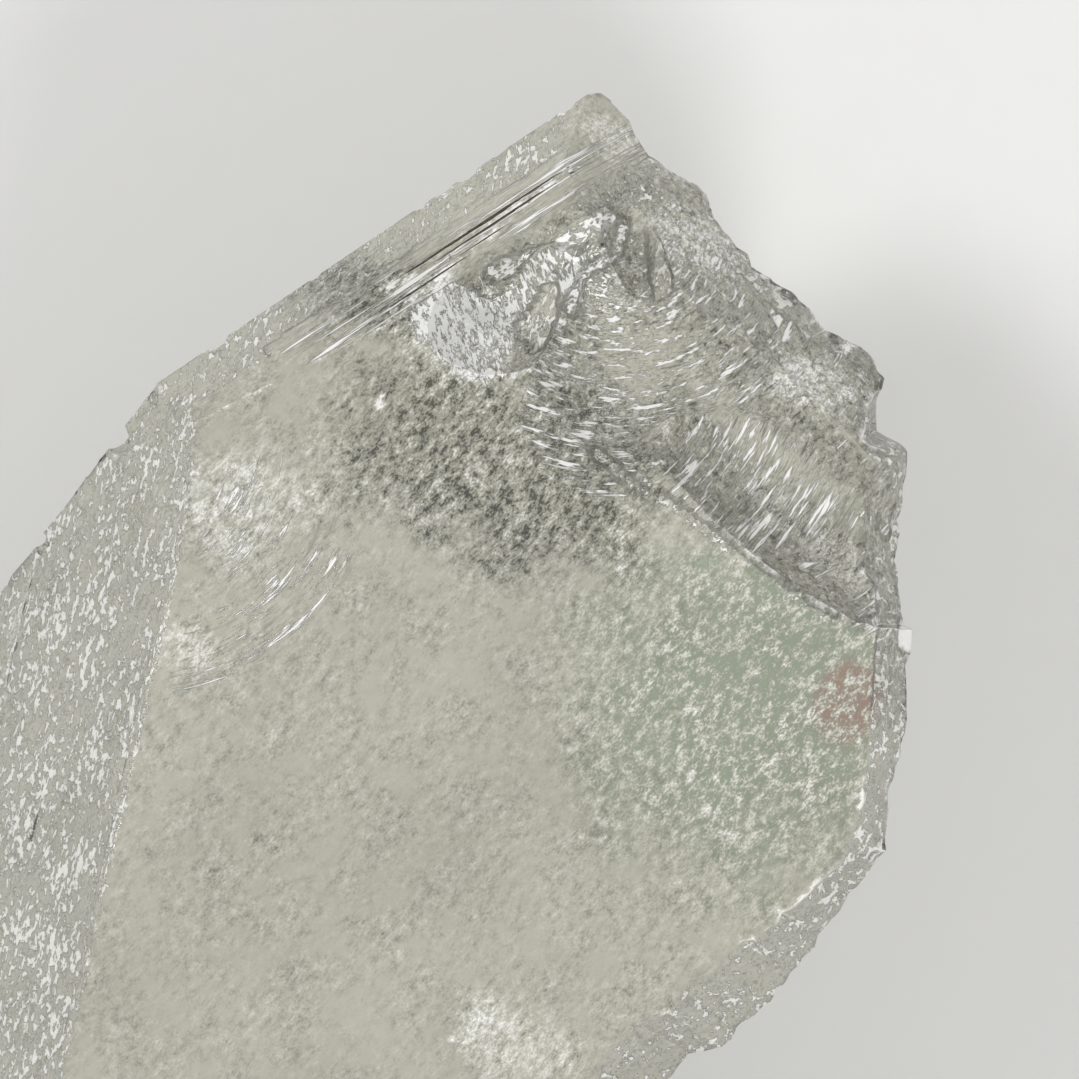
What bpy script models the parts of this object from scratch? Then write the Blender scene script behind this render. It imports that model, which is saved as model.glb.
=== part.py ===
"""Quartz crystal point, lying on one of its prism faces.

The crystal is one piece of clear quartz: a flattened six-sided prism with a six-sided point.
The right of its point and its right edge are broken, in shell-shaped (conchoidal) fractures,
and its root is the rough break where it came off the rock.

It is modelled in millimetres with the tip at X = 0, Y = 0 and the crystal's own long axis
(its c axis) along Y, then scaled to metres and set down with its origin at the middle of
the underside of its box.
"""

import math
import random
from collections import namedtuple

import bmesh
import bpy
from mathutils import Matrix, Vector, noise

MM = 0.001

# Driving sizes, in millimetres
LENGTH = 46.0
THICKNESS = 12.0
BLANK_WIDTH = 60.0

# Angles of quartz. A rhombohedral face of the point leans 38.2 degrees in from its prism face.
POINT_LEAN = 38.2
SIDE_POINT_SLOPE = 66.9

# The left side face starts at this line on the top face and slopes down to the flared left corner.
LEFT_EDGE_X = -6.3
LEFT_EDGE_Y = -14.5
LEFT_SLOPE = 57.0
LEFT_CORNER_X = -11.7
LEFT_CORNER_Z = 2.9

# The right corner that the prism would have without the break
RIGHT_CORNER_X = 13.0
RIGHT_CORNER_Z = 10.0

# Height of the sharp edge round the outline: left of the tip, right of the tip, the right side
LEFT_RIM_Z = 9.1
TIP_BREAK_Z = 8.6
RIGHT_RIM_Z = 10.0

# The jagged edge of the break has a tooth about every EDGE_STEP, in or out by up to EDGE_TOOTH.
EDGE_STEP = 0.3
EDGE_TOOTH = 0.06
EDGE_SMOOTHING = 17
EDGE_SEED = 7

# A facet faces the compass heading (degrees from +X towards +Y) and slopes from 0 (level, facing
# up) over 90 (upright) to 180 (facing down). It passes through one point of the blank.
Facet = namedtuple("Facet", "name heading slope through")

# A chip is a shell-shaped bite: an ellipsoid with its centre, its half sizes and its turn about Z.
# Its ripples are rings round the strike, the way to which is given from its centre; rings is
# how many of them would fit from the strike to the far side.
Chip = namedtuple("Chip", "name centre radii turn strike rings ripple_height")

# A rough face is a lumpy cut: it passes through a point and faces a heading and slope, as a facet
# does. Width runs level and depth down the slope, in cells of the given size. Lumps are so wide and
# deep, rise or fall by up to the relief, and lie under the plane by the sink.
RoughFace = namedtuple("RoughFace", "name through heading slope width depth cell lump relief sink")

# One point of the jagged outline of the break: the height of the sharp edge there, and how far
# the break leans in from it, up to the level LOFT_TOP and down to the level LOFT_BOTTOM.
EdgePoint = namedtuple("EdgePoint", "x y edge_z lean_above lean_below")
LOFT_TOP = THICKNESS + 1
LOFT_BOTTOM = -1.0


def unit_normal(heading, slope):
    h = math.radians(heading)
    s = math.radians(slope)
    return Vector((math.cos(h) * math.sin(s), math.sin(h) * math.sin(s), math.cos(s)))


def prism_facets():
    """The flat faces along the crystal's length."""
    return [
        Facet("top prism face", 0, 0, (0, 0, THICKNESS)),
        Facet("bottom prism face", 0, 180, (0, 0, 0)),
        Facet("upper left prism face", 186, LEFT_SLOPE, (LEFT_EDGE_X, LEFT_EDGE_Y, THICKNESS)),
        Facet("lower left prism face", 180, 120, (LEFT_CORNER_X, -20, LEFT_CORNER_Z)),
        Facet("upper right prism face", 0, 60, (RIGHT_CORNER_X, -30, RIGHT_CORNER_Z)),
        Facet("lower right prism face", 0, 120, (RIGHT_CORNER_X, -30, RIGHT_CORNER_Z)),
    ]


def point_facets():
    """The faces of the point. On the upper left it steps up to the top face in flatter bands."""
    left_rim = (-3.95, -4.45)
    inward = Vector((math.cos(math.radians(142)), math.sin(math.radians(142)))) * -1
    band_widths_and_slopes = [(1.15, 60), (1.95, 22), (1.0, 10)]
    facets = []
    x, y, z = left_rim[0], left_rim[1], LEFT_RIM_Z
    for number, (width, slope) in enumerate(band_widths_and_slopes, 1):
        facets.append(Facet(f"upper left band {number}", 142, slope, (x, y, z)))
        x += inward.x * width
        y += inward.y * width
        z += width * math.tan(math.radians(slope))
    facets += [
        Facet("lower left point face", 143, 112, (-9.34, -12.6, 7.65)),
        Facet("lower point face", 90, 180 - POINT_LEAN, (0, 0.3, 8.6)),
        Facet("lower right point face", 42, 180 - SIDE_POINT_SLOPE, (9.6, -5.6, 6.2)),
    ]
    return facets


def broken_facets():
    """Flat stretches of the break, from the tip round the right side, and at the root."""
    return [
        Facet("upper tip break", 63.7, 50, (5.05, -2.1, TIP_BREAK_Z)),
        Facet("lower tip break", 63.7, 118, (5.1, -1.98, TIP_BREAK_Z)),
        Facet("upper right break", 14.7, 62, (12.0, -10.8, RIGHT_RIM_Z)),
        Facet("lower right break", 14.7, 110, (12.0, -10.8, RIGHT_RIM_Z)),
        Facet("upper root break", -82, 72, (0, -LENGTH + 0.6, 7.5)),
        Facet("lower root break", -97, 104, (0, -LENGTH + 0.6, 6.5)),
        Facet("left root break", -128, 88, (-7.6, -LENGTH + 2.4, 5.0)),
        Facet("right root break", -48, 97, (8.6, -LENGTH + 3.2, 6.0)),
    ]


def break_outline():
    """The jagged outline of the break, from the tip round the right side to below the heel."""
    return [
        EdgePoint(-0.5, 1.3, 8.6, 2.4, 1.6),
        EdgePoint(0.28, 0.23, 8.6, 2.4, 1.6),
        EdgePoint(0.83, -0.1, 8.6, 2.4, 1.6),
        EdgePoint(1.33, -0.63, 8.6, 2.4, 1.6),
        EdgePoint(2.12, -0.96, 8.5, 2.4, 1.6),
        EdgePoint(2.8, -1.0, 8.5, 2.4, 1.6),
        EdgePoint(3.3, -1.24, 8.5, 2.4, 1.6),
        EdgePoint(3.97, -1.9, 8.6, 2.4, 1.6),
        EdgePoint(5.3, -2.7, 8.6, 2.4, 1.6),
        EdgePoint(6.45, -3.0, 8.5, 2.4, 1.6),
        EdgePoint(7.3, -3.5, 8.5, 2.4, 1.6),
        EdgePoint(8.0, -3.6, 8.5, 2.4, 1.6),
        EdgePoint(8.76, -3.85, 8.6, 2.0, 1.8),
        EdgePoint(9.15, -4.2, 8.7, 1.6, 1.8),
        EdgePoint(9.12, -4.85, 8.8, 1.3, 1.8),
        EdgePoint(9.38, -5.55, 8.8, 1.3, 1.8),
        EdgePoint(10.1, -5.66, 8.8, 1.5, 2.0),
        EdgePoint(10.4, -6.0, 8.8, 1.5, 2.0),
        EdgePoint(10.64, -7.53, 8.8, 1.5, 2.0),
        EdgePoint(10.87, -8.53, 8.9, 1.5, 2.0),
        EdgePoint(11.22, -9.45, 9.3, 1.5, 2.0),
        EdgePoint(11.55, -10.0, 9.8, 1.4, 2.0),
        EdgePoint(11.95, -10.12, 10.0, 1.2, 2.0),
        EdgePoint(11.9, -11.0, 10.0, 1.2, 2.2),
        EdgePoint(12.41, -12.29, 10.0, 1.2, 2.4),
        EdgePoint(12.53, -13.85, 10.0, 1.2, 2.6),
        EdgePoint(12.87, -15.6, 10.0, 1.2, 2.8),
        EdgePoint(12.43, -16.96, 9.7, 1.4, 3.0),
        EdgePoint(11.97, -18.5, 9.4, 1.8, 3.2),
        EdgePoint(11.65, -19.7, 9.2, 2.3, 3.4),
        EdgePoint(11.04, -20.91, 9.0, 2.5, 3.4),
        EdgePoint(10.6, -21.7, 9.0, 2.5, 3.4),
        EdgePoint(9.9, -22.15, 9.0, 2.5, 3.4),
        EdgePoint(9.5, -23.1, 9.0, 2.4, 3.4),
        EdgePoint(9.05, -24.9, 9.0, 2.3, 3.3),
        EdgePoint(9.1, -27.0, 8.8, 2.2, 3.2),
        EdgePoint(9.8, -29.2, 8.6, 2.3, 3.2),
        EdgePoint(9.9, -31.6, 8.4, 2.5, 3.0),
        EdgePoint(10.7, -33.4, 8.4, 2.6, 3.0),
        EdgePoint(10.9, -36.2, 8.2, 2.6, 2.9),
        EdgePoint(11.5, -38.4, 8.0, 2.7, 2.8),
        EdgePoint(11.4, -41.0, 8.0, 2.7, 2.8),
        EdgePoint(11.9, -44.0, 8.0, 2.7, 2.8),
        EdgePoint(12.0, -48.0, 8.0, 2.7, 2.8),
    ]


def large_chips():
    """The shell-shaped hollows that show from a step away. They spread from one blow by the tip."""
    return [
        Chip("hollow", (7.3, -7.0, 16.1), (8.5, 3.3, 6.0), -23, (-0.75, 0.1, -0.65), 22, 0.004),
        Chip("ripple bowl", (3.0, -5.7, 15.8), (4.6, 3.9, 5.2), -30, (-0.69, 0.39, -0.61), 24, 0.006),
        Chip("bright scoop", (-0.6, -5.9, 13.2), (2.2, 1.7, 2.6), 28, (0, 1, 0), 14, 0.006),
        Chip("ridge scoop", (0.3, -4.0, 12.6), (2.7, 0.8, 1.05), 57, (0, 0, 1), 0, 0),
        Chip("tip scoop", (2.1, -3.0, 12.4), (2.2, 1.0, 2.1), -62, (0, 0, 1), 0, 0),
        Chip("outlet step", (11.0, -7.4, 13.2), (2.0, 2.6, 4.0), 10, (0, 1, 0), 0, 0),
    ]


def growth_lines():
    """Thin lines of growth on the band below the left edge of the point."""
    rows = [
        (-2.45, -4.15, 11.02, 3.9),
        (-1.9, -4.0, 11.1, 3.3),
        (-1.5, -3.75, 11.14, 3.2),
        (-1.7, -4.35, 11.21, 2.5),
        (-2.6, -5.7, 11.28, 1.9),
    ]
    return [
        Chip(f"growth line {k}", (x, y, z), (half_length, 0.05, 0.12), 52, (0, 0, 1), 0, 0)
        for k, (x, y, z, half_length) in enumerate(rows)
    ]


def rough_faces():
    """The hammered left side and the torn root."""
    return [
        RoughFace("left side", (-8.6, -27, 6.47), 186, LEFT_SLOPE, 40, 12.5, 0.6, (1.7, 0.85), 0.17, 0.1),
        RoughFace("root", (0, -LENGTH + 1.3, 6), -88, 86, 28, 16, 0.95, (4.2, 3.4), 1.3, 0.5),
    ]


def hidden_chips():
    """Breaks on the sides that face away: at the root and under the right side."""
    return [
        Chip("root bowl", (2.6, -LENGTH - 2.6, 8.6), (6.2, 4.3, 5.0), 12, (0, 0.5, 0.86), 18, 0.008),
        Chip("root left", (-7.4, -LENGTH - 0.6, 4.0), (3.9, 2.8, 3.4), -20, (0, 0.5, 0.86), 14, 0.008),
        Chip("root top", (-2.6, -LENGTH + 0.4, 13.2), (4.2, 3.2, 2.6), 10, (0, 0, -1), 12, 0.008),
        Chip("under right", (13.0, -12.2, 1.0), (3.4, 5.6, 4.6), 14, (0, 1, 0), 16, 0.006),
        Chip("side shell", (13.6, -34.5, 6.0), (4.6, 6.4, 5.4), 8, (0, 1, 0), 18, 0.006),
        Chip("left bruise", (-12.6, -31.5, 3.0), (1.6, 2.2, 2.2), 0, (0, 0, 1), 0, 0),
    ]


def edge_chips(name, start, end, count, size, seed, outward):
    """Small bites in a row along a sharp edge, so that its outline is jagged."""
    rng = random.Random(seed)
    start, end = Vector(start), Vector(end)
    out = Vector((math.cos(math.radians(outward)), math.sin(math.radians(outward)), 0))
    chips = []
    for k in range(count):
        along = (k + 0.5 + rng.uniform(-0.3, 0.3)) / count
        radius = size * rng.uniform(0.6, 1.35)
        centre = start.lerp(end, along) + out * radius * rng.uniform(0.62, 0.86)
        centre.z += rng.uniform(-0.5, 0.5)
        radii = (radius, radius * rng.uniform(0.8, 1.3), radius * rng.uniform(1.2, 2.2))
        turn = math.degrees(math.atan2(end.y - start.y, end.x - start.x)) + rng.uniform(-25, 25)
        chips.append(Chip(f"{name} {k}", tuple(centre), radii, turn, (0, 0, 1), 0, 0))
    return chips


def rim_chips():
    """Rows of small bites along the sharp left edge, and on the rough ledge right of the tip."""
    rows = [
        ("left rim", (-0.5, 0.0, 9.1), (-7.6, -9.2, 9.1), 15, 0.42, 11, 142),
        ("left corner", (-8.2, -10.2, 9.8), (-11.4, -19.0, 3.6), 8, 0.35, 53, 160),
        ("ledge", (3.6, -1.9, 9.9), (9.0, -4.6, 9.9), 12, 0.55, 23, 64),
    ]
    return [chip for row in rows for chip in edge_chips(*row)]


def new_object(name, mesh, collection):
    obj = bpy.data.objects.new(name, mesh)
    collection.objects.link(obj)
    return obj


def cut_facet(bm, facet):
    """Slices off what lies outside the facet and closes the cut with one flat face."""
    cut = bmesh.ops.bisect_plane(
        bm,
        geom=bm.verts[:] + bm.edges[:] + bm.faces[:],
        plane_co=Vector(facet.through),
        plane_no=unit_normal(facet.heading, facet.slope),
        clear_outer=True,
    )
    edges = [g for g in cut["geom_cut"] if isinstance(g, bmesh.types.BMEdge)]
    if edges:
        bmesh.ops.contextual_create(bm, geom=edges)


def make_blank(collection):
    """The faceted crystal before its breaks are chipped."""
    bm = bmesh.new()
    block = Matrix.Translation((0, -LENGTH / 2, THICKNESS / 2)) @ Matrix.Diagonal(
        (BLANK_WIDTH, LENGTH * 2, THICKNESS * 2, 1)
    )
    bmesh.ops.create_cube(bm, size=1, matrix=block)
    for facet in prism_facets() + point_facets() + broken_facets():
        cut_facet(bm, facet)
    bmesh.ops.recalc_face_normals(bm, faces=bm.faces[:])
    mesh = bpy.data.meshes.new("quartz_point")
    bm.to_mesh(mesh)
    bm.free()
    return new_object("quartz_point", mesh, collection)


def hidden_cutter(name, bm, collection):
    bmesh.ops.triangulate(bm, faces=bm.faces[:])
    bmesh.ops.recalc_face_normals(bm, faces=bm.faces[:])
    mesh = bpy.data.meshes.new(name)
    bm.to_mesh(mesh)
    bm.free()
    cutter = new_object(name, mesh, collection)
    cutter.hide_render = True
    cutter.display_type = "WIRE"
    return cutter


def make_rough_face(face, collection):
    """A cutter with a lumpy front, closed by a flat back out in the air."""
    normal = unit_normal(face.heading, face.slope)
    level = Vector((0, 0, 1)).cross(normal).normalized()
    down = level.cross(normal)
    columns = round(face.width / face.cell)
    rows = round(face.depth / face.cell)
    bm = bmesh.new()
    front = []
    back = []
    for i in range(columns + 1):
        for j in range(rows + 1):
            u = (i / columns - 0.5) * face.width
            v = (j / rows - 0.5) * face.depth
            spot = Vector((u / face.lump[0], v / face.lump[1], face.slope))
            height = noise.noise(spot) + 0.5 * noise.noise(spot * 2.3)
            place = Vector(face.through) + level * u + down * v
            front.append(bm.verts.new(place + normal * (face.relief * height - face.sink)))
            back.append(bm.verts.new(place + normal * BLANK_WIDTH / 10))

    def corner(verts, i, j):
        return verts[i * (rows + 1) + j]

    for i in range(columns):
        for j in range(rows):
            for verts in (front, back):
                bm.faces.new([corner(verts, i + a, j + b) for a, b in ((0, 0), (1, 0), (1, 1), (0, 1))])
    rim = [(i, 0) for i in range(columns)] + [(columns, j) for j in range(rows)]
    rim += [(i, rows) for i in range(columns, 0, -1)] + [(0, j) for j in range(rows, 0, -1)]
    for (i, j), (k, m) in zip(rim, rim[1:] + rim[:1]):
        bm.faces.new((corner(front, i, j), corner(front, k, m), corner(back, k, m), corner(back, i, j)))
    return hidden_cutter("rough " + face.name, bm, collection)


def make_chip(chip, collection):
    """One shell-shaped cutter."""
    bm = bmesh.new()
    strike = Vector(chip.strike).normalized()
    if chip.rings:
        bmesh.ops.create_uvsphere(bm, u_segments=32, v_segments=3 * chip.rings, radius=1)
        aim = Vector((0, 0, 1)).rotation_difference(strike).to_matrix().to_4x4()
        bm.transform(aim)
    else:
        middle_radius = sorted(chip.radii)[1]
        fineness = 2 + (middle_radius > 0.7) + (middle_radius > 1.4)
        bmesh.ops.create_icosphere(bm, subdivisions=fineness, radius=1)
    for v in bm.verts:
        angle = strike.angle(v.co)
        patchy = 0.6 + noise.noise(v.co * 3.1 - Vector(chip.centre))
        wave = chip.ripple_height * patchy * math.cos(2 * chip.rings * angle)
        rough = 0.04 * noise.noise(v.co * 2.3 + Vector(chip.centre))
        v.co *= 1 + wave + rough
    placing = (
        Matrix.Translation(chip.centre)
        @ Matrix.Rotation(math.radians(chip.turn), 4, "Z")
        @ Matrix.Diagonal((*chip.radii, 1))
    )
    bm.transform(placing)
    return hidden_cutter("chip " + chip.name, bm, collection)


def outline_with_teeth(outline, rng):
    """The outline in short steps, each of its points with the way in from the edge."""
    steps = []
    for a, b in zip(outline, outline[1:]):
        span = math.hypot(b.x - a.x, b.y - a.y)
        count = max(1, round(span / EDGE_STEP))
        for k in range(count):
            steps.append([u + (v - u) * k / count for u, v in zip(a, b)])
    steps.append(list(outline[-1]))
    rows = []
    for k, (x, y, edge_z, above, below) in enumerate(steps):
        before = steps[max(k - EDGE_SMOOTHING, 0)]
        after = steps[min(k + EDGE_SMOOTHING, len(steps) - 1)]
        way = Vector((after[0] - before[0], after[1] - before[1], 0)).normalized()
        inward = Vector((way.y, -way.x, 0))
        point = Vector((x, y, edge_z)) + inward * rng.uniform(-EDGE_TOOTH, EDGE_TOOTH)
        rows.append((point, inward, above, below))
    return rows


def make_break(outline, collection):
    """The cutter that leaves the jagged outline: three rings, at the top, at the edge and at the bottom."""
    rng = random.Random(EDGE_SEED)
    rows = outline_with_teeth(outline, rng)
    rings = [[], [], []]
    for point, inward, above, below in rows:
        top = point + inward * above * rng.uniform(0.95, 1.05)
        bottom = point + inward * below
        rings[0].append((bottom.x, bottom.y, LOFT_BOTTOM))
        rings[1].append(tuple(point))
        rings[2].append((top.x, top.y, LOFT_TOP))
    far = BLANK_WIDTH
    for ring, z in zip(rings, (LOFT_BOTTOM, TIP_BREAK_Z, LOFT_TOP)):
        ring += [(far, outline[-1].y, z), (far, far, z), (outline[0].x, far, z)]
    bm = bmesh.new()
    verts = [[bm.verts.new(p) for p in ring] for ring in rings]
    count = len(verts[0])
    for lower, upper in zip(verts, verts[1:]):
        for k in range(count):
            j = (k + 1) % count
            bm.faces.new((lower[k], lower[j], upper[j], upper[k]))
    bm.faces.new(verts[0])
    bm.faces.new(verts[-1])
    return hidden_cutter("break", bm, collection)


def take_off(obj, cutter):
    bite = obj.modifiers.new(cutter.name, "BOOLEAN")
    bite.operation = "DIFFERENCE"
    bite.solver = "EXACT"
    bite.object = cutter


def quartz_material():
    material = bpy.data.materials.new("quartz")
    material.use_nodes = True
    shader = material.node_tree.nodes["Principled BSDF"]
    shader.inputs["Base Color"].default_value = (0.80, 0.82, 0.74, 1)
    shader.inputs["Roughness"].default_value = 0.2
    shader.inputs["Metallic"].default_value = 0
    shader.inputs["IOR"].default_value = 1.544
    shader.inputs["Transmission Weight"].default_value = 1
    return material


def set_down(obj):
    """Freezes the chips into the mesh, and puts the origin at the middle of the box's underside."""
    graph = bpy.context.evaluated_depsgraph_get()
    mesh = bpy.data.meshes.new_from_object(obj.evaluated_get(graph))
    obj.modifiers.clear()
    obj.data = mesh
    low = Vector([min(v.co[axis] for v in mesh.vertices) for axis in range(3)])
    high = Vector([max(v.co[axis] for v in mesh.vertices) for axis in range(3)])
    middle = Vector(((low.x + high.x) / 2, (low.y + high.y) / 2, low.z))
    mesh.transform(Matrix.Scale(MM, 4) @ Matrix.Translation(-middle))
    print(f"From the tip to the origin, in mm: {middle.x:.3f}, {middle.y:.3f}")


def main():
    for obj in list(bpy.data.objects):
        bpy.data.objects.remove(obj, do_unlink=True)
    model = bpy.data.collections.new("quartz_crystal_point")
    cutters = bpy.data.collections.new("cutters")
    for collection in (model, cutters):
        bpy.context.scene.collection.children.link(collection)
    crystal = make_blank(model)
    take_off(crystal, make_break(break_outline(), cutters))
    for face in rough_faces():
        take_off(crystal, make_rough_face(face, cutters))
    for chip in large_chips() + growth_lines() + hidden_chips() + rim_chips():
        take_off(crystal, make_chip(chip, cutters))
    bpy.context.view_layer.update()
    set_down(crystal)
    crystal.data.materials.append(quartz_material())


main()
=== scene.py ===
"""Quartz crystal point on a pale table, seen from above as in the photograph."""

import math

import bmesh
import bpy
import numpy as np
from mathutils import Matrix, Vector, noise


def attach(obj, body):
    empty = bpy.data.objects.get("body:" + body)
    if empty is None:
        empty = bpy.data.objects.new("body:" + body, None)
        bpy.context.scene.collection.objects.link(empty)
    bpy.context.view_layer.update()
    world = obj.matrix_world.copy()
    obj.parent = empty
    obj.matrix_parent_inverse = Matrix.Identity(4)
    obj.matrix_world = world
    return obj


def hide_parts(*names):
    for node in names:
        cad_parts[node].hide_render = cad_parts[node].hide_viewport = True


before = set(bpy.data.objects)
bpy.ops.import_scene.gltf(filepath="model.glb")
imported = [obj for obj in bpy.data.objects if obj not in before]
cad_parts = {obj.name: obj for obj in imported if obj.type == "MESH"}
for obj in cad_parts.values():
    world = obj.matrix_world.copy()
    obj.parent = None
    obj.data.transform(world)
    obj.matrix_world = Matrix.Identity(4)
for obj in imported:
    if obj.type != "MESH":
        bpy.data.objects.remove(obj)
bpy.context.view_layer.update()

MM = 0.001

# From the crystal's tip to the row's origin, in millimetres. All the places below are given from the tip.
TIP_TO_ORIGIN = np.array([0.624, -22.263, 0.0])

# Camera: straight above, turned so that the crystal leans as in the photograph
CAMERA_OVER = (2.098, -10.941)
CAMERA_HEIGHT = 160.0
CAMERA_TURN = 18.66
LENS = 197.5
CLIP_START = 0.01

# Softboxes: name, heading from +X towards +Y, height over the table (both in degrees) and power
SOFTBOXES = [
    ("key", 178, 38, 0.95),
    ("fill", -45, 38, 0.85),
    ("back", 75, 30, 0.5),
]
SOFTBOX_SIZE = 0.12
SOFTBOX_AWAY = 0.42
LIT_PLACE = (2, -11, 8)
ROOM_COLOR = (1.0, 0.99, 0.97, 1)
ROOM_LIGHT = 0.45

TABLE_SIZE = 2.0
TABLE_COLOR = (0.72, 0.72, 0.71, 1)
TABLE_GRAIN = 900

# The surface is split until no edge is longer than this, in millimetres: the hidden sides,
# the sides that show, and the jagged rims. What lies low or faces down is hidden.
HIDDEN_STEP = 0.9
SHOWN_STEP = 0.29
RIM_STEP = 0.15
HIDDEN_BELOW = 5.5
MOST_SPLITS = 9

# Points closer than this, in metres, are one, and faces that meet at less than this angle are one plane.
SAME_PLACE = 1e-7
SAME_PLANE = 0.001
FLAT_ANGLE = 0.002

# Edges sharper than the first angle keep their place and their crease. In the break only those sharper than
# the second keep their place. All other points are smoothed so many times.
SHARP_ANGLE = math.radians(24)
BLUNT_ANGLE = math.radians(62)
SMOOTHINGS = 4

# Up to this height above the table the surface stays exactly as it is in the solid.
RESTING_HEIGHT = 0.4

# Rims above this height get painted white glints.
RIM_GLINTS_ABOVE = 3

# Which way each kind of face looks: heading from +X towards +Y and lean from straight up, in degrees
LEFT_FACE = (186, 57)
BEVEL_FACE = (142, 60)
RIGHT_SIDE = (0, 90)
HEEL_SIDE = (-90, 90)

# The two upper rims of the point, as lines through a place: the distance inwards from each is measured.
LEFT_RIM = ((-3.95, -4.45), (0.788, -0.616))
RIGHT_RIM = ((5.05, -2.1), (-0.443, -0.8965))

# The edge between the left face and the top, given in the same way
LEFT_CREST = ((-6.53, -12.68), (0.989, 0.147))

# The middle of the blow that broke the crystal beside its tip
STRIKE = (1.3, -2.6)

# The middle of the bright scoop, round which the fine hackle runs
SCOOP = (-0.04, -5.82)

# The old curved cracks by the left edge run round this place, between these distances from it.
CRACK_CENTRE = (-8.4, -11.86)
CRACK_REACH = (4.9, 6.4)

# Round patches: the middle, the half sizes along X and Y, and how soft the border is
PATCHES = {
    "arcs": ((-4.2, -15.2), (3.0, 3.0), 0.6),
    "old crack": ((-5.5, -12.8), (1.5, 1.7), 0.9),
    "ripples": ((3.0, -6.0), (3.4, 3.3), 0.35),
    "hackle": ((6.8, -7.9), (2.6, 1.5), 0.4),
    "spur": ((11.75, -10.2), (0.3, 0.4), 0.4),
    "green": ((9.0, -12.8), (4.6, 4.4), 0.7),
    "rust": ((10.7, -12.3), (0.8, 1.0), 0.6),
    "dark": ((0.4, -9.4), (4.2, 2.5), 0.7),
    "dark streak": ((-3.2, -6.4), (3.4, 0.9), 0.6),
}

# The two lobes of the bright scoop: the middle, the heading of the long axis, the half sizes,
# how soft the border is, and how strong
SCOOP_LOBES = [
    ((-1.5, -6.5), -22, (1.7, 0.9), 0.6, 1.0),
    ((0.1, -4.9), 60, (1.5, 0.7), 0.7, 0.8),
]

# Whitish patches: the middle and the half sizes of each
FROST = [
    ((7.35, -4.96), (1.2, 0.7)),
    ((0.61, -0.64), (1.0, 0.6)),
    ((3.5, -2.56), (1.6, 0.8)),
    ((-1.5, -6.5), (1.5, 1.0)),
    ((-5.23, -12.64), (1.6, 1.5)),
    ((-5.26, -16.47), (0.9, 0.6)),
    ((5.52, -22.99), (1.5, 1.0)),
]
FROST_SOFT = 0.8

# Ragged bright ridges of the break: the places each runs through, its width in millimetres and its strength
RIDGES = [
    (((-1.1, -4.9), (0.1, -4.0), (1.1, -2.7)), 0.16, 1.0),
    (((1.0, -5.2), (0.9, -4.4), (1.6, -3.6), (1.6, -2.7)), 0.09, 1.0),
    (((2.7, -8.4), (3.9, -8.9), (5.4, -9.2), (7.2, -9.8), (9.6, -10.5)), 0.13, 0.32),
]

# Noises over the surface: how many waves to a millimetre, and the seed
RAGGED = (0.9, 5)
COARSE = (1.1, 1)
MEDIUM = (2.6, 2)
CLOUD = (0.35, 4)
CLUSTERS = (0.8, 6)
RIM_GLINT_NOISE = (1.7, 8)

# What each region adds to how mottled, how see-through and how uneven the surface is
MOTTLED = {"dark": 0.75, "green": 0.5, "shell": 0.45, "frost": 0.4}
SEE_THROUGH = {"dark": 0.2, "shell": 0.12}
UNEVEN = {"dark": 0.5, "shell": 0.6, "green": 0.1, "left": 0.6}

# Low relief of each region, in millimetres: the coarse and the medium part
RELIEF = {
    "left": (0.03, 0.03),
    "shell": (0.02, 0.018),
    "rim": (0.0, 0.05),
    "bevel": (0.03, 0.0),
}

# Numbers that the material reads at each point of the surface
FACTORS = ("stroke", "edge", "pit_shade", "mottle", "lift", "clear", "gloss", "green", "rust", "uneven")

# The crystal's material
IOR = 1.544
MILKY_TINT = (0.60, 0.59, 0.50, 1)
DARK_TINT = (0.13, 0.135, 0.12, 1)
GREEN_TINT = (0.38, 0.43, 0.33, 1)
RUST_TINT = (0.42, 0.30, 0.25, 1)
# The white of the strokes, which are painted glints, and of the light specks
WHITE_TINT = (0.80, 0.80, 0.78, 1)
SOAK_COLOR = (0.60, 0.62, 0.48, 1)
SOAK_DENSITY = 60.0
BUMP_DEPTH = 0.07
FLECK_TURN = -68
FLECK_STRETCH = (0.62, 1.0, 1.0)
FLECK_SCALE = 4.6

# Sockets of the Mix node for colours
MIX_A, MIX_B, MIX_RESULT = 6, 7, 2


# The crystal's surface

def split_fine(bm, step_at):
    """Splits edges in half until each is shorter than its own limit, keeping the flat faces flat."""
    for _ in range(MOST_SPLITS):
        long_edges = [e for e in bm.edges if e.calc_length() > step_at(e)]
        if not long_edges:
            return
        bmesh.ops.subdivide_edges(bm, edges=long_edges, cuts=1)
        many = [f for f in bm.faces if len(f.verts) > 3]
        bmesh.ops.triangulate(bm, faces=many, quad_method="SHORT_EDGE", ngon_method="BEAUTY")
        flat = [e for e in bm.edges if len(e.link_faces) == 2 and e.calc_face_angle(0) < FLAT_ANGLE]
        bmesh.ops.beautify_fill(bm, faces=bm.faces[:], edges=flat, method="AREA")


def slopes_at(edge):
    """How far up the faces beside an edge look, the steeper first: 1 is straight up and 0 is sideways."""
    return sorted(f.normal.z for f in edge.link_faces)


def is_sharp(edge):
    return len(edge.link_faces) == 2 and edge.calc_face_angle(0) > SHARP_ANGLE


def on_left_crest(edge):
    """The rubbed, rounded edge between the top face and the left face."""
    x, y, _ = edge.verts[0].co / MM + Vector(TIP_TO_ORIGIN)
    slopes = slopes_at(edge)
    return x < -5.5 and y < -13.5 and slopes[-1] > 0.95 and slopes[0] > 0.3


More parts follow.
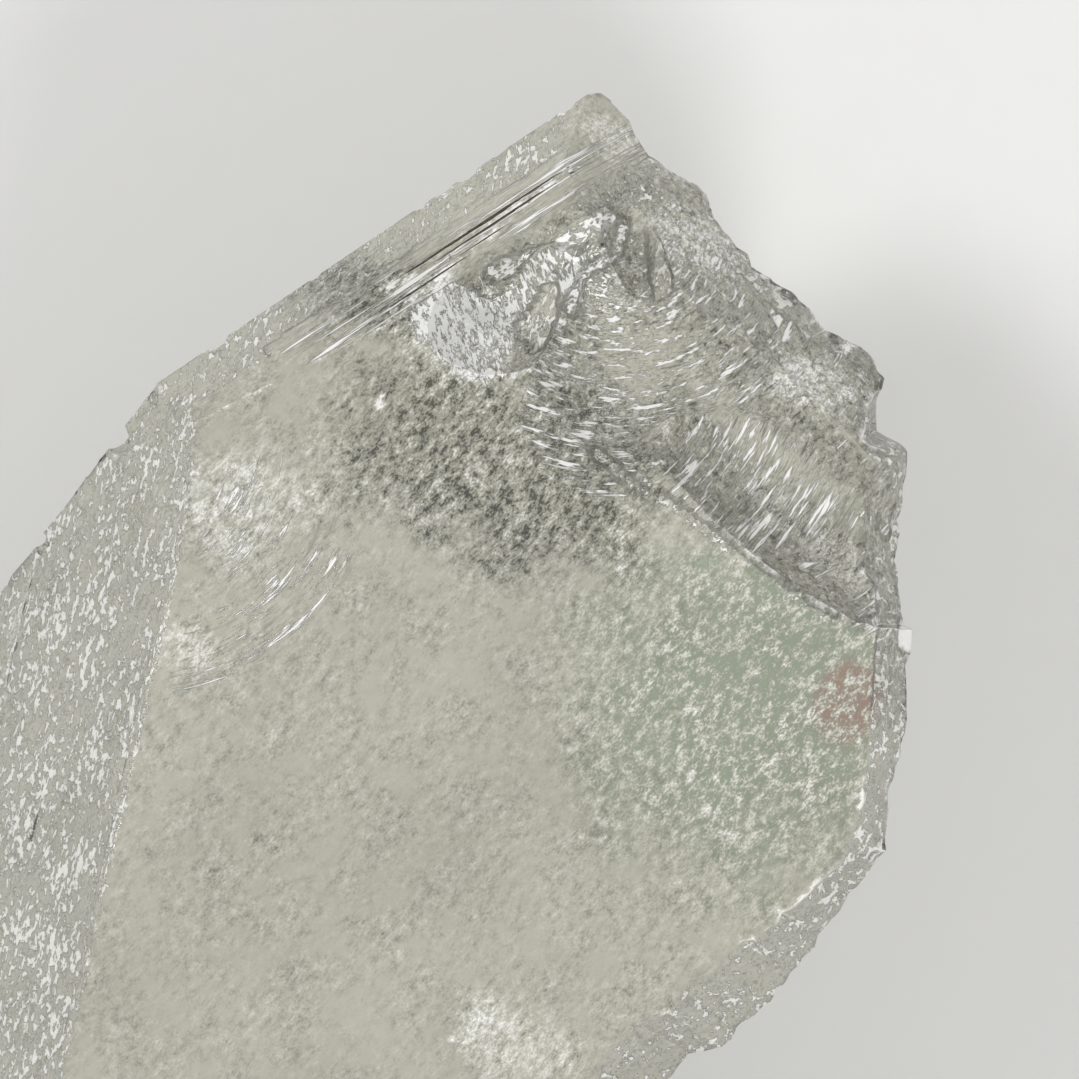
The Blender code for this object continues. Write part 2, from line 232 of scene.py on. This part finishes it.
def in_the_break(edge):
    """The soft edges between the hollows of the break, which are blunter than its rims."""
    x, y, z = (edge.verts[0].co + edge.verts[1].co) / 2 / MM + Vector(TIP_TO_ORIGIN)
    blunt = edge.calc_face_angle(0) < BLUNT_ANGLE
    facing_up = slopes_at(edge)[0] > 0.3
    return blunt and facing_up and -2.6 < x < 11 and -10.5 < y < -1.2 and z > 8.9


def longest_at(edge):
    """How long an edge may be, in metres."""
    middle = (edge.verts[0].co + edge.verts[1].co) / 2
    slopes = slopes_at(edge)
    if middle.z < HIDDEN_BELOW * MM or slopes[-1] < 0.02:
        return HIDDEN_STEP * MM
    if is_sharp(edge) and slopes[0] < 0.3:
        return RIM_STEP * MM
    return SHOWN_STEP * MM


def make_surface(node):
    """The solid's surface in short steps, with its hollows rounded and its sharp edges kept, and the points
    of its rims that get painted white glints."""
    bm = bmesh.new()
    bm.from_mesh(node.data)
    bmesh.ops.remove_doubles(bm, verts=bm.verts[:], dist=SAME_PLACE)
    bmesh.ops.dissolve_limit(bm, angle_limit=SAME_PLANE, verts=bm.verts[:], edges=bm.edges[:])
    bmesh.ops.triangulate(bm, faces=bm.faces[:])
    split_fine(bm, longest_at)

    kept = [e for e in bm.edges if is_sharp(e) and not on_left_crest(e) and not in_the_break(e)]
    pinned = {v for e in kept for v in e.verts}
    loose = [v for v in bm.verts if v not in pinned]
    for _ in range(SMOOTHINGS):
        bmesh.ops.smooth_vert(bm, verts=loose, factor=0.5, use_axis_x=True, use_axis_y=True, use_axis_z=True)
    bm.normal_update()
    bm.verts.index_update()

    # Sharp rims high up get painted white glints.
    rims = {v for e in bm.edges if is_sharp(e) and slopes_at(e)[0] < 0.45 for v in e.verts}
    glinting_rim_points = [v.index for v in rims if v.co.z > RIM_GLINTS_ABOVE * MM]
    mesh = bpy.data.meshes.new("crystal")
    bm.to_mesh(mesh)
    bm.free()
    return mesh, glinting_rim_points


def arrays_of(mesh):
    """The mesh's places, normals and edges, as rows."""
    count = len(mesh.vertices)
    places = np.empty(count * 3)
    normals = np.empty(count * 3)
    edges = np.empty(len(mesh.edges) * 2, int)
    mesh.vertices.foreach_get("co", places)
    mesh.vertices.foreach_get("normal", normals)
    mesh.edges.foreach_get("vertices", edges)
    return places.reshape(-1, 3), normals.reshape(-1, 3), edges.reshape(-1, 2)


# Shapes of regions. Each gives one number, mostly from 0 to 1, for each point.

def smooth_step(low, high, value):
    t = np.clip((value - low) / (high - low), 0, 1)
    return t * t * (3 - 2 * t)


def band(value, low, high, soft):
    return smooth_step(low - soft, low + soft, value) * (1 - smooth_step(high - soft, high + soft, value))


def blob(points, centre, radius, soft):
    """1 inside a round patch, falling to 0 past its edge. radius is one number for X and one for Y."""
    away = (points[:, :2] - np.array(centre)) / np.array(radius)
    return 1 - smooth_step(1 - soft, 1 + soft, np.hypot(away[:, 0], away[:, 1]))


def noise_at(points, scale, seed):
    """Smooth noise from about -1 to 1."""
    shift = Vector((seed * 7.13, seed * 3.71, seed * 5.37))
    return np.array([noise.noise(Vector(p * scale) + shift) for p in points])


def facing(normals, face):
    """1 where the surface looks the way that this face does, 0 at a right angle to it."""
    heading, lean = map(math.radians, face)
    way = (math.cos(heading) * math.sin(lean), math.sin(heading) * math.sin(lean), math.cos(lean))
    return normals @ np.array(way)


def inwards_from(points, rim):
    """How far each point is inwards from a rim, in millimetres."""
    (x, y), (way_x, way_y) = rim
    return way_x * (points[:, 0] - x) + way_y * (points[:, 1] - y)


def from_line(points, corners):
    """How far each point is from a line through the corners, seen from above."""
    nearest = np.full(len(points), np.inf)
    for a, b in zip(corners, corners[1:]):
        a, b = np.array(a), np.array(b)
        part = np.clip(((points[:, :2] - a) @ (b - a)) / ((b - a) @ (b - a)), 0, 1)
        off = points[:, :2] - (a + part[:, None] * (b - a))
        nearest = np.minimum(nearest, np.hypot(off[:, 0], off[:, 1]))
    return nearest


def turned(points, angle, centre=(0, 0)):
    """The points as seen from a centre and along a heading, in degrees from +X."""
    a = math.radians(angle)
    x = points[:, 0] - centre[0]
    y = points[:, 1] - centre[1]
    return np.stack([x * math.cos(a) + y * math.sin(a), y * math.cos(a) - x * math.sin(a), points[:, 2]], 1)


def round_place(points, centre):
    """The distance from a centre and the angle round it."""
    x = points[:, 0] - centre[0]
    y = points[:, 1] - centre[1]
    return np.stack([np.hypot(x, y), np.arctan2(y, x), np.zeros(len(points))], 1)


def region_masks(points, normals):
    """Where each kind of surface is: one number from 0 to 1 for each point."""
    x, y, z = points.T
    up = normals[:, 2]
    ragged = noise_at(points, *RAGGED)
    patch = {name: blob(points, *shape) for name, shape in PATCHES.items()}

    # The large faces
    shown = smooth_step(0.0, 0.25, up)
    top = smooth_step(0.93, 0.985, up)
    left = smooth_step(0.72, 0.86, facing(normals, LEFT_FACE)) * shown
    bevel = smooth_step(0.93, 0.98, facing(normals, BEVEL_FACE))

    # The break beside the tip
    from_left_rim = inwards_from(points, LEFT_RIM)
    from_right_rim = inwards_from(points, RIGHT_RIM)
    past_bevel = smooth_step(-0.3, 0.5, from_left_rim - 3.0 + 0.9 * (z < 11.9))
    in_break = smooth_step(-0.4, 0.4, 6.3 - from_right_rim) * past_bevel
    scoop = np.maximum.reduce([
        strength * blob(turned(points, heading, centre), (0, 0), radius, soft)
        for centre, heading, radius, soft, strength in SCOOP_LOBES
    ])
    ridges = np.maximum.reduce([
        strength * (1 - smooth_step(0.6 * width, 2.2 * width, from_line(points, corners)))
        for corners, width, strength in RIDGES
    ])

    # The jagged right side and heel
    on_right = smooth_step(-0.1, 0.3, facing(normals, RIGHT_SIDE))
    on_heel = smooth_step(0.5, 0.8, facing(normals, HEEL_SIDE))
    steep = (1 - smooth_step(0.35, 0.7, up)) * np.minimum(on_right + on_heel, 1) * smooth_step(-0.6, 0.0, up)
    towards_top = 0.3 + 0.7 * smooth_step(5.0, 8.0, z + ragged)

    # The old curved cracks stop short of the edge of the left face.
    on_top = top * smooth_step(0.1, 0.7, inwards_from(points, LEFT_CREST))
    arcs = band(round_place(points, CRACK_CENTRE)[:, 0], *CRACK_REACH, 0.5) * patch["arcs"]
    whitish = np.maximum.reduce([blob(points, centre, radius, FROST_SOFT) for centre, radius in FROST])
    rippled = smooth_step(0.25, 0.6, patch["ripples"] * shown + 0.25 * ragged)
    darkened = smooth_step(0.15, 0.95, patch["dark"] + 0.35 * ragged)
    return {
        "left": left,
        "bevel": bevel,
        "striae": band(from_left_rim, 0.95, 2.1, 0.12) * smooth_step(-9.0, -8.0, y) * (1 - in_break) * shown,
        "shell": in_break * (1 - top) * (1 - left) * shown,
        "ripples": rippled * smooth_step(0.2, 1.0, x) * (1 - bevel),
        "hackle": patch["hackle"] * in_break * shown,
        "scoop": smooth_step(0.3, 0.75, scoop + 0.3 * ragged) * shown,
        "ridges": ridges * shown,
        "cracks": np.maximum(arcs, 0.8 * patch["old crack"]) * on_top,
        "rim": steep * (1 - left) * (1 - bevel) * towards_top,
        "spur": patch["spur"],
        "green": smooth_step(0.0, 1.1, patch["green"] + 0.3 * ragged) * top,
        "rust": smooth_step(0.2, 0.8, patch["rust"] + 0.3 * ragged),
        "frost": smooth_step(0.0, 1.0, whitish + 0.3 * ragged),
        "dark": np.maximum(darkened, patch["dark streak"]) * shown,
    }


def stroke_fields(points, masks, edges):
    """The run of the fine white strokes, which are painted glints. Each field is a region, its own
    coordinates, how sparse its strokes are, how dark the painted shade in the hollows between them is, and how
    strong the strokes. Where regions overlap, the later counts."""
    clusters = 0.05 * noise_at(points, *CLUSTERS)
    from_strike = round_place(points, STRIKE)
    from_crack = round_place(points, CRACK_CENTRE)
    from_scoop = round_place(points, SCOOP)
    fields = [
        ("shell", from_strike * (5.5, 6.0, 1), 0.53 + 2 * clusters, 0.9, 1.0),
        ("rim", points * (4.2, 4.2, 2.2), 0.5 + 2 * clusters, 0.6, 0.8),
        ("ripples", from_strike * (7.5, 6.0, 1), 0.505 + clusters, 0.9, 1.0),
        ("hackle", from_scoop * (8.5, 6.0, 1), 0.505 + clusters, 0.8, 1.0),
        ("ridges", turned(points, 50) * (4.5, 7.0, 0), 0.41, 0.1, 1.0),
        ("scoop", turned(points, -50) * (3.6, 8.0, 0), 0.41 + 2 * clusters, 0.6, 1.0),
        ("cracks", from_crack * (7.0, 3.0, 1), 0.53 + clusters, 0.4, 1.0),
        ("left", turned(points, 95) * (3.6, 7.5, 0), 0.48 + 2 * clusters, 0.25, 0.7),
        ("striae", turned(points, 52) * (0.2, 7.0, 0), 0.52, 0.6, 1.0),
        ("spur", points * 1.0, 0.2, 0.0, 1.0),
    ]
    grain = points * 2.0
    stroke = np.zeros(len(points))
    edge = np.full(len(points), 0.6)
    pit_shade = np.zeros(len(points))
    owner = np.full(len(points), -1)
    for number, (name, coordinates, sparse, dark, strength) in enumerate(fields):
        own = masks[name] > 0.2
        inside = masks[name][own]
        grain[own] = coordinates[own]
        owner[own] = number
        stroke[own] = strength * smooth_step(0.2, 0.35, inside)
        edge[own] = np.broadcast_to(sparse, len(points))[own] + 0.09 * (1 - smooth_step(0.2, 0.8, inside))
        # Painted shade in the hollows between the strokes
        pit_shade[own] = dark * stroke[own]

    # A field's coordinates go on for one step past its border, so that its strokes fade out evenly there.
    for a, b in (edges.T, edges.T[::-1]):
        for number, field in enumerate(fields):
            past = b[(owner[a] == number) & (owner[b] < 0)]
            grain[past] = field[1][past]
    return grain, {"stroke": stroke, "edge": edge, "pit_shade": pit_shade}


def weighted(masks, weights):
    return [weight * masks[name] for name, weight in weights.items()]


def low_relief(points, masks, coarse, medium):
    """How far each point moves out of the surface, in millimetres. Where the crystal rests, none does."""
    relief = sum(
        masks[name] * (coarse_part * coarse + medium_part * medium)
        for name, (coarse_part, medium_part) in RELIEF.items()
    )
    relief[points[:, 2] < RESTING_HEIGHT] = 0
    return relief


def roughen(mesh, glinting_rim_points):
    """Gives the surface its low relief and stores what the material reads from it."""
    places, normals, edges = arrays_of(mesh)
    points = places / MM + TIP_TO_ORIGIN
    masks = region_masks(points, normals)
    coarse = noise_at(points, *COARSE)
    medium = noise_at(points, *MEDIUM)
    cloud = noise_at(points, *CLOUD) + 0.6 * coarse
    # Painted white glints on the sharp rims high up: they raise the mottle and lift the specks to white.
    rim_glint = np.zeros(len(points))
    rim_glint[glinting_rim_points] = np.clip(0.45 + 1.2 * noise_at(points[glinting_rim_points], *RIM_GLINT_NOISE), 0, 1)
    grain, strokes = stroke_fields(points, masks, edges)

    # Faces that look up are milky, steep ones are clear, and the side that lies on the table is frosted.
    milky = smooth_step(0.1, 0.5, normals[:, 2])
    frosted_base = smooth_step(0.8, 0.95, -normals[:, 2])
    mottle = (0.22 + 0.22 * (coarse + medium)) * (0.4 + 0.6 * milky)
    mottle = mottle + sum(weighted(masks, MOTTLED)) + 0.7 * rim_glint
    whiter = (0.1 * masks["frost"] + 0.07 * masks["scoop"] + 0.03 * coarse) * milky
    clear = 0.6 + milky * (0.06 * cloud + sum(weighted(masks, SEE_THROUGH)) - 0.24)
    factors = {
        **strokes,
        "mottle": np.clip(mottle, 0.05, 1.2),
        "lift": whiter - 0.01 * masks["dark"] + 0.24 * rim_glint,
        "clear": np.clip(clear, 0.25, 0.7) * (1 - 0.55 * frosted_base),
        "gloss": np.maximum.reduce([masks["shell"], 1 - milky, 0.5 * masks["dark"]]),
        "green": masks["green"],
        "rust": masks["rust"],
        "uneven": 0.04 + np.maximum.reduce(weighted(masks, UNEVEN)),
    }

    places = places + normals * low_relief(points, masks, coarse, medium)[:, None] * MM
    mesh.vertices.foreach_set("co", places.ravel())
    for name in FACTORS:
        attribute = mesh.attributes.new(name, "FLOAT", "POINT")
        attribute.data.foreach_set("value", np.asarray(factors[name], np.float32))
    run = mesh.attributes.new("grain", "FLOAT_VECTOR", "POINT")
    run.data.foreach_set("vector", np.asarray(grain, np.float32).ravel())
    mesh.update()


def shade_by_angle(mesh):
    mesh.shade_smooth()
    bm = bmesh.new()
    bm.from_mesh(mesh)
    for edge in bm.edges:
        edge.smooth = not is_sharp(edge)
    bm.to_mesh(mesh)
    bm.free()


# Materials

class Nodes:
    """Short names for building a material's nodes."""

    def __init__(self, name):
        self.material = bpy.data.materials.new(name)
        self.material.use_nodes = True
        self.tree = self.material.node_tree
        self.shader = self.tree.nodes["Principled BSDF"]
        self.out = self.tree.nodes["Material Output"]

    def add(self, kind, **settings):
        node = self.tree.nodes.new(kind)
        for key, value in settings.items():
            setattr(node, key, value)
        return node

    def put(self, socket, value):
        """Joins the socket to another node's, or gives it a fixed value."""
        if isinstance(value, bpy.types.NodeSocket):
            self.tree.links.new(value, socket)
        else:
            socket.default_value = value

    def math(self, operation, a, b, clamp=False):
        node = self.add("ShaderNodeMath", operation=operation, use_clamp=clamp)
        self.put(node.inputs[0], a)
        self.put(node.inputs[1], b)
        return node.outputs[0]

    def attribute(self, name, output="Fac"):
        return self.add("ShaderNodeAttribute", attribute_name=name).outputs[output]

    def spread(self, value, low, high, to_low=0.0, to_high=1.0):
        """Carries a value over from one range to another, with soft ends."""
        node = self.add("ShaderNodeMapRange", interpolation_type="SMOOTHSTEP")
        for socket, v in zip(node.inputs, (value, low, high, to_low, to_high)):
            self.put(socket, v)
        return node.outputs[0]

    def object_space(self):
        return self.add("ShaderNodeTexCoord").outputs["Object"]

    def mm_space(self, turn, stretch):
        """The place on the crystal in millimetres, turned about Z and squeezed along its axes."""
        turned = self.add("ShaderNodeMapping")
        self.put(turned.inputs["Rotation"], (0, 0, math.radians(turn)))
        self.put(turned.inputs["Vector"], self.object_space())
        scaled = self.add("ShaderNodeMapping")
        self.put(scaled.inputs["Scale"], tuple(s / MM for s in stretch))
        self.put(scaled.inputs["Vector"], turned.outputs[0])
        return scaled.outputs[0]

    def noise(self, where, scale, rough):
        node = self.add("ShaderNodeTexNoise")
        for name, value in {"Vector": where, "Scale": scale, "Detail": 3, "Roughness": rough}.items():
            self.put(node.inputs[name], value)
        return node.outputs["Fac"]

    def mix_color(self, factor, a, b):
        node = self.add("ShaderNodeMix", data_type="RGBA")
        self.put(node.inputs["Factor"], factor)
        self.put(node.inputs[MIX_A], a)
        self.put(node.inputs[MIX_B], b)
        return node.outputs[MIX_RESULT]


def quartz_material():
    n = Nodes("quartz")
    at = {name: n.attribute(name) for name in FACTORS}
    grain = n.noise(n.attribute("grain", "Vector"), 1.0, 0.68)
    fleck = n.noise(n.mm_space(FLECK_TURN, FLECK_STRETCH), FLECK_SCALE, 0.95)
    fleck = n.math("ADD", fleck, at["lift"])

    # White strokes, painted glints where light catches ridges and old cracks, and white specks all over, which
    # are painted glints on the rims
    above = n.math("SUBTRACT", grain, at["edge"])
    strokes = n.math("MULTIPLY", n.spread(above, 0.0, 0.1), at["stroke"])
    lighter = n.math("MULTIPLY", n.math("SUBTRACT", fleck, 0.53), 5.5)
    specks = n.math("MULTIPLY", lighter, at["mottle"], clamp=True)
    white = n.math("MAXIMUM", strokes, specks)

    # Dark specks, and painted shade in the hollows between the strokes
    darker = n.math("MULTIPLY", n.math("SUBTRACT", 0.51, fleck), 8.0)
    dark_specks = n.math("MULTIPLY", darker, at["mottle"], clamp=True)
    painted_pit_shade = n.math("MULTIPLY", n.spread(grain, 0.46, 0.33), at["pit_shade"])
    shade = n.math("MAXIMUM", dark_specks, painted_pit_shade)

    tint = n.mix_color(shade, MILKY_TINT, DARK_TINT)
    tint = n.mix_color(n.math("MULTIPLY", at["green"], n.spread(fleck, 0.62, 0.42)), tint, GREEN_TINT)
    tint = n.mix_color(n.math("MULTIPLY", at["rust"], n.spread(fleck, 0.6, 0.4)), tint, RUST_TINT)
    n.put(n.shader.inputs["Base Color"], n.mix_color(white, tint, WHITE_TINT))

    through = n.math("SUBTRACT", at["clear"], n.math("MULTIPLY", white, 0.45), clamp=True)
    n.put(n.shader.inputs["Transmission Weight"], through)
    rough = n.math("SUBTRACT", n.spread(fleck, 0.3, 0.7, 0.14, 0.26), n.math("MULTIPLY", at["gloss"], 0.12))
    n.put(n.shader.inputs["Roughness"], rough)
    n.put(n.shader.inputs["IOR"], IOR)

    # Relief too fine for the mesh
    bump = n.add("ShaderNodeBump")
    n.put(bump.inputs["Strength"], 1.0)
    n.put(bump.inputs["Distance"], BUMP_DEPTH * MM)
    n.put(bump.inputs["Height"], n.math("ADD", strokes, n.math("MULTIPLY", fleck, at["uneven"])))
    n.put(n.shader.inputs["Normal"], bump.outputs[0])

    soak = n.add("ShaderNodeVolumeAbsorption")
    n.put(soak.inputs["Color"], SOAK_COLOR)
    n.put(soak.inputs["Density"], SOAK_DENSITY)
    n.put(n.out.inputs["Volume"], soak.outputs[0])
    return n.material


def table_material():
    n = Nodes("pale table")
    grain = n.noise(n.object_space(), TABLE_GRAIN, 0.55)
    n.put(n.shader.inputs["Base Color"], TABLE_COLOR)
    n.put(n.shader.inputs["Roughness"], n.spread(grain, 0.3, 0.7, 0.5, 0.65))
    return n.material


# The scene

def place_of(x, y, z):
    """A place on the crystal, in metres from the row's origin."""
    return (Vector((x, y, z)) - Vector(TIP_TO_ORIGIN)) * MM


def link(name, data):
    thing = bpy.data.objects.new(name, data)
    bpy.context.scene.collection.objects.link(thing)
    return thing


def make_floor():
    bpy.ops.mesh.primitive_plane_add(size=TABLE_SIZE, location=(0, 0, 0))
    floor = bpy.context.object
    floor.name = "table"
    floor.data.materials.append(table_material())


def make_camera():
    data = bpy.data.cameras.new("camera")
    data.lens = LENS
    data.clip_start = CLIP_START
    camera = link("camera", data)
    camera.location = place_of(*CAMERA_OVER, CAMERA_HEIGHT)
    camera.rotation_euler = (0, 0, math.radians(CAMERA_TURN))
    bpy.context.scene.camera = camera


def make_softbox(name, heading, height, power):
    """A square softbox aimed at the crystal."""
    data = bpy.data.lights.new(name, "AREA")
    data.size = SOFTBOX_SIZE
    data.energy = power
    light = link(name, data)
    h, e = math.radians(heading), math.radians(height)
    way = Vector((math.cos(h) * math.cos(e), math.sin(h) * math.cos(e), math.sin(e)))
    light.location = place_of(*LIT_PLACE) + way * SOFTBOX_AWAY
    light.rotation_euler = way.to_track_quat("Z", "Y").to_euler()


def make_lights():
    world = bpy.data.worlds.new("studio")
    world.use_nodes = True
    background = world.node_tree.nodes["Background"]
    background.inputs["Color"].default_value = ROOM_COLOR
    background.inputs["Strength"].default_value = ROOM_LIGHT
    bpy.context.scene.world = world
    for softbox in SOFTBOXES:
        make_softbox(*softbox)


def make_crystal():
    mesh, glinting_rim_points = make_surface(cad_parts["quartz_point"])
    roughen(mesh, glinting_rim_points)
    shade_by_angle(mesh)
    mesh.materials.append(quartz_material())
    crystal = link("crystal", mesh)
    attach(crystal, "root")
    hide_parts("quartz_point")
    print("triangles in the crystal:", len(mesh.polygons))


bpy.context.scene.view_settings.view_transform = "Standard"
make_camera()
make_lights()
make_floor()
make_crystal()
